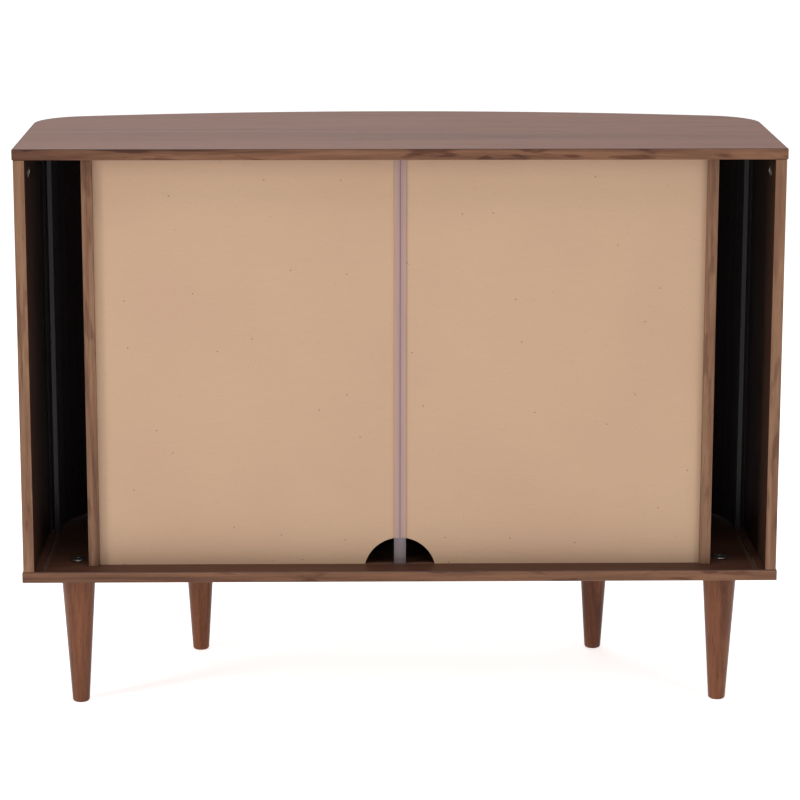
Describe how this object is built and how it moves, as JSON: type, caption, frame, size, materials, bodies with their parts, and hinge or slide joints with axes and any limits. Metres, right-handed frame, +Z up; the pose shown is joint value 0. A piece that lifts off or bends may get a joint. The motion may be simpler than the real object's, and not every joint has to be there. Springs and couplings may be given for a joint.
{
  "type": "media cabinet",
  "caption": "Walnut media cabinet with a bowed front, round corners, slatted tambour doors that slide into side pockets, a hardboard back with a cable hole, and tapered legs.",
  "frame": {"origin": "on the floor, under the middle of the cabinet's box", "axes": "+Z up, the doors face -Y and the open back faces +Y, +X is the right-hand side for someone facing the doors"},
  "size_m": [1.042, 0.4, 0.795],
  "materials": {
    "walnut_panel": "satin lacquered walnut veneer with a long horizontal grain",
    "walnut_case": "satin lacquered walnut veneer with an upright grain",
    "walnut_slat": "satin lacquered walnut slats on black canvas",
    "pull_wood": "oiled dark walnut",
    "leg_wood": "turned and stained solid wood, satin lacquer",
    "hardboard": "smooth tan hardboard with fine dark fibres",
    "clear_plastic": "translucent cream extruded plastic",
    "steel": "zinc plated steel"
  },
  "bodies": {
    "root": {"top_panel": "walnut_panel", "bottom_panel": "walnut_panel", "shelf": "walnut_panel", "back_joining_strip": "clear_plastic", "back_board_left": "hardboard", "back_board_right": "hardboard", "side_panel_left": "walnut_case", "side_panel_right": "walnut_case", "partition_left": "walnut_case", "partition_right": "walnut_case", "leg_rear_left": "leg_wood", "leg_rear_right": "leg_wood", "leg_front_left": "leg_wood", "leg_front_right": "leg_wood", "leg_bolt_rear_left": "steel", "leg_bolt_rear_right": "steel", "leg_bolt_front_left": "steel", "leg_bolt_front_right": "steel", "cam_lock_left": "steel", "cam_lock_right": "steel", "shelf_pin_rear_left": "steel", "shelf_pin_rear_right": "steel", "shelf_pin_front_left": "steel", "shelf_pin_front_right": "steel"},
    "left_door_lead": {"door_left_lead": "walnut_slat", "door_left_pull": "pull_wood"},
    "left_slat_01": {"door_left_slat_01": "walnut_slat"},
    "left_slat_02": {"door_left_slat_02": "walnut_slat"},
    "left_slat_03": {"door_left_slat_03": "walnut_slat"},
    "left_slat_04": {"door_left_slat_04": "walnut_slat"},
    "left_slat_05": {"door_left_slat_05": "walnut_slat"},
    "left_slat_06": {"door_left_slat_06": "walnut_slat"},
    "left_slat_07": {"door_left_slat_07": "walnut_slat"},
    "left_slat_08": {"door_left_slat_08": "walnut_slat"},
    "left_slat_09": {"door_left_slat_09": "walnut_slat"},
    "left_slat_10": {"door_left_slat_10": "walnut_slat"},
    "left_slat_11": {"door_left_slat_11": "walnut_slat"},
    "left_slat_12": {"door_left_slat_12": "walnut_slat"},
    "left_slat_13": {"door_left_slat_13": "walnut_slat"},
    "left_slat_14": {"door_left_slat_14": "walnut_slat"},
    "left_door_tail": {"door_left_tail": "walnut_slat"},
    "right_door_lead": {"door_right_lead": "walnut_slat", "door_right_pull": "pull_wood"},
    "right_slat_01": {"door_right_slat_01": "walnut_slat"},
    "right_slat_02": {"door_right_slat_02": "walnut_slat"},
    "right_slat_03": {"door_right_slat_03": "walnut_slat"},
    "right_slat_04": {"door_right_slat_04": "walnut_slat"},
    "right_slat_05": {"door_right_slat_05": "walnut_slat"},
    "right_slat_06": {"door_right_slat_06": "walnut_slat"},
    "right_slat_07": {"door_right_slat_07": "walnut_slat"},
    "right_slat_08": {"door_right_slat_08": "walnut_slat"},
    "right_slat_09": {"door_right_slat_09": "walnut_slat"},
    "right_slat_10": {"door_right_slat_10": "walnut_slat"},
    "right_slat_11": {"door_right_slat_11": "walnut_slat"},
    "right_slat_12": {"door_right_slat_12": "walnut_slat"},
    "right_slat_13": {"door_right_slat_13": "walnut_slat"},
    "right_slat_14": {"door_right_slat_14": "walnut_slat"},
    "right_door_tail": {"door_right_tail": "walnut_slat"}
  },
  "joints": [
    {"name": "left_door_open", "type": "hinge", "parent": "root", "child": "left_door_lead", "pos_m": [0, 1.8, 0.5], "axis": [0, 0, -1], "range_deg": [0, 5.23]},
    {"name": "left_slat_01_turn", "type": "hinge", "parent": "root", "child": "left_slat_01", "pos_m": [-0.11171, 1.09522, 0.5], "axis": [0, 0, -1], "range_deg": [-0.2, 8.39]},
    {"name": "left_slat_02_turn", "type": "hinge", "parent": "root", "child": "left_slat_02", "pos_m": [-0.24258, 0.36042, 0.5], "axis": [0, 0, -1], "range_deg": [-0.2, 20.22]},
    {"name": "left_slat_03_turn", "type": "hinge", "parent": "root", "child": "left_slat_03", "pos_m": [-0.28659, 0.16589, 0.5], "axis": [0, 0, -1], "range_deg": [-0.2, 32.65]},
    {"name": "left_slat_04_turn", "type": "hinge", "parent": "root", "child": "left_slat_04", "pos_m": [-0.31284, 0.08011, 0.5], "axis": [0, 0, -1], "range_deg": [-0.2, 45.08]},
    {"name": "left_slat_05_turn", "type": "hinge", "parent": "root", "child": "left_slat_05", "pos_m": [-0.33276, 0.03294, 0.5], "axis": [0, 0, -1], "range_deg": [-0.2, 57.5]},
    {"name": "left_slat_06_turn", "type": "hinge", "parent": "root", "child": "left_slat_06", "pos_m": [-0.34964, 0.00425, 0.5], "axis": [0, 0, -1], "range_deg": [-0.2, 69.93]},
    {"name": "left_slat_07_turn", "type": "hinge", "parent": "root", "child": "left_slat_07", "pos_m": [-0.36084, -0.00921, 0.5], "axis": [0, 0, -1], "range_deg": [-0.2, 78.81]},
    {"name": "left_slat_08_turn", "type": "hinge", "parent": "root", "child": "left_slat_08", "pos_m": [-0.36022, -0.00869, 0.5], "axis": [0, 0, -1], "range_deg": [-0.2, 78.35]},
    {"name": "left_slat_09_turn", "type": "hinge", "parent": "root", "child": "left_slat_09", "pos_m": [-0.34441, 0.00002, 0.5], "axis": [0, 0, -1], "range_deg": [-0.2, 69.31]},
    {"name": "left_slat_10_turn", "type": "hinge", "parent": "root", "child": "left_slat_10", "pos_m": [-0.31032, 0.01217, 0.5], "axis": [0, 0, -1], "range_deg": [-0.2, 56.18]},
    {"name": "left_slat_11_turn", "type": "hinge", "parent": "root", "child": "left_slat_11", "pos_m": [-0.25387, 0.0244, 0.5], "axis": [0, 0, -1], "range_deg": [-0.2, 43.06]},
    {"name": "left_slat_12_turn", "type": "hinge", "parent": "root", "child": "left_slat_12", "pos_m": [-0.1467, 0.03682, 0.5], "axis": [0, 0, -1], "range_deg": [-0.2, 29.93]},
    {"name": "left_slat_13_turn", "type": "hinge", "parent": "root", "child": "left_slat_13", "pos_m": [0.12929, 0.04988, 0.5], "axis": [0, 0, -1], "range_deg": [-0.2, 16.81]},
    {"name": "left_slat_14_turn", "type": "hinge", "parent": "root", "child": "left_slat_14", "pos_m": [2.19344, 0.06834, 0.5], "axis": [0, 0, -1], "range_deg": [-0.2, 4.04]},
    {"name": "left_tail_slide", "type": "slide", "parent": "root", "child": "left_door_tail", "axis": [0, 1, 0], "range_m": [-0.001, 0.18099]},
    {"name": "right_door_open", "type": "hinge", "parent": "root", "child": "right_door_lead", "pos_m": [0, 1.8, 0.5], "axis": [0, 0, 1], "range_deg": [0, 5.23]},
    {"name": "right_slat_01_turn", "type": "hinge", "parent": "root", "child": "right_slat_01", "pos_m": [0.11171, 1.09522, 0.5], "axis": [0, 0, 1], "range_deg": [-0.2, 8.39]},
    {"name": "right_slat_02_turn", "type": "hinge", "parent": "root", "child": "right_slat_02", "pos_m": [0.24258, 0.36042, 0.5], "axis": [0, 0, 1], "range_deg": [-0.2, 20.22]},
    {"name": "right_slat_03_turn", "type": "hinge", "parent": "root", "child": "right_slat_03", "pos_m": [0.28659, 0.16589, 0.5], "axis": [0, 0, 1], "range_deg": [-0.2, 32.65]},
    {"name": "right_slat_04_turn", "type": "hinge", "parent": "root", "child": "right_slat_04", "pos_m": [0.31284, 0.08011, 0.5], "axis": [0, 0, 1], "range_deg": [-0.2, 45.08]},
    {"name": "right_slat_05_turn", "type": "hinge", "parent": "root", "child": "right_slat_05", "pos_m": [0.33276, 0.03294, 0.5], "axis": [0, 0, 1], "range_deg": [-0.2, 57.5]},
    {"name": "right_slat_06_turn", "type": "hinge", "parent": "root", "child": "right_slat_06", "pos_m": [0.34964, 0.00425, 0.5], "axis": [0, 0, 1], "range_deg": [-0.2, 69.93]},
    {"name": "right_slat_07_turn", "type": "hinge", "parent": "root", "child": "right_slat_07", "pos_m": [0.36084, -0.00921, 0.5], "axis": [0, 0, 1], "range_deg": [-0.2, 78.81]},
    {"name": "right_slat_08_turn", "type": "hinge", "parent": "root", "child": "right_slat_08", "pos_m": [0.36022, -0.00869, 0.5], "axis": [0, 0, 1], "range_deg": [-0.2, 78.35]},
    {"name": "right_slat_09_turn", "type": "hinge", "parent": "root", "child": "right_slat_09", "pos_m": [0.34441, 0.00002, 0.5], "axis": [0, 0, 1], "range_deg": [-0.2, 69.31]},
    {"name": "right_slat_10_turn", "type": "hinge", "parent": "root", "child": "right_slat_10", "pos_m": [0.31032, 0.01217, 0.5], "axis": [0, 0, 1], "range_deg": [-0.2, 56.18]},
    {"name": "right_slat_11_turn", "type": "hinge", "parent": "root", "child": "right_slat_11", "pos_m": [0.25387, 0.0244, 0.5], "axis": [0, 0, 1], "range_deg": [-0.2, 43.06]},
    {"name": "right_slat_12_turn", "type": "hinge", "parent": "root", "child": "right_slat_12", "pos_m": [0.1467, 0.03682, 0.5], "axis": [0, 0, 1], "range_deg": [-0.2, 29.93]},
    {"name": "right_slat_13_turn", "type": "hinge", "parent": "root", "child": "right_slat_13", "pos_m": [-0.12929, 0.04988, 0.5], "axis": [0, 0, 1], "range_deg": [-0.2, 16.81]},
    {"name": "right_slat_14_turn", "type": "hinge", "parent": "root", "child": "right_slat_14", "pos_m": [-2.19344, 0.06834, 0.5], "axis": [0, 0, 1], "range_deg": [-0.2, 4.04]},
    {"name": "right_tail_slide", "type": "slide", "parent": "root", "child": "right_door_tail", "axis": [0, 1, 0], "range_m": [-0.001, 0.18099]}
  ],
  "couplings": [
    {"joint": "left_slat_01_turn", "follows": "left_door_open", "ratio": 1.5664},
    {"joint": "left_slat_02_turn", "follows": "left_door_open", "ratio": 3.8283},
    {"joint": "left_slat_03_turn", "follows": "left_door_open", "ratio": 6.2046},
    {"joint": "left_slat_04_turn", "follows": "left_door_open", "ratio": 8.5808},
    {"joint": "left_slat_05_turn", "follows": "left_door_open", "ratio": 10.957},
    {"joint": "left_slat_06_turn", "follows": "left_door_open", "ratio": 13.333},
    {"joint": "left_slat_07_turn", "follows": "left_door_open", "ratio": 15.032},
    {"joint": "left_slat_08_turn", "follows": "left_door_open", "ratio": 14.944},
    {"joint": "left_slat_09_turn", "follows": "left_door_open", "ratio": 13.214},
    {"joint": "left_slat_10_turn", "follows": "left_door_open", "ratio": 10.704},
    {"joint": "left_slat_11_turn", "follows": "left_door_open", "ratio": 8.1945},
    {"joint": "left_slat_12_turn", "follows": "left_door_open", "ratio": 5.6849},
    {"joint": "left_slat_13_turn", "follows": "left_door_open", "ratio": 3.1753},
    {"joint": "left_slat_14_turn", "follows": "left_door_open", "ratio": 0.73513},
    {"joint": "left_tail_slide", "follows": "left_door_open", "m_per_rad": 1.9719},
    {"joint": "right_slat_01_turn", "follows": "right_door_open", "ratio": 1.5664},
    {"joint": "right_slat_02_turn", "follows": "right_door_open", "ratio": 3.8283},
    {"joint": "right_slat_03_turn", "follows": "right_door_open", "ratio": 6.2046},
    {"joint": "right_slat_04_turn", "follows": "right_door_open", "ratio": 8.5808},
    {"joint": "right_slat_05_turn", "follows": "right_door_open", "ratio": 10.957},
    {"joint": "right_slat_06_turn", "follows": "right_door_open", "ratio": 13.333},
    {"joint": "right_slat_07_turn", "follows": "right_door_open", "ratio": 15.032},
    {"joint": "right_slat_08_turn", "follows": "right_door_open", "ratio": 14.944},
    {"joint": "right_slat_09_turn", "follows": "right_door_open", "ratio": 13.214},
    {"joint": "right_slat_10_turn", "follows": "right_door_open", "ratio": 10.704},
    {"joint": "right_slat_11_turn", "follows": "right_door_open", "ratio": 8.1945},
    {"joint": "right_slat_12_turn", "follows": "right_door_open", "ratio": 5.6849},
    {"joint": "right_slat_13_turn", "follows": "right_door_open", "ratio": 3.1753},
    {"joint": "right_slat_14_turn", "follows": "right_door_open", "ratio": 0.73513},
    {"joint": "right_tail_slide", "follows": "right_door_open", "m_per_rad": 1.9719}
  ]
}
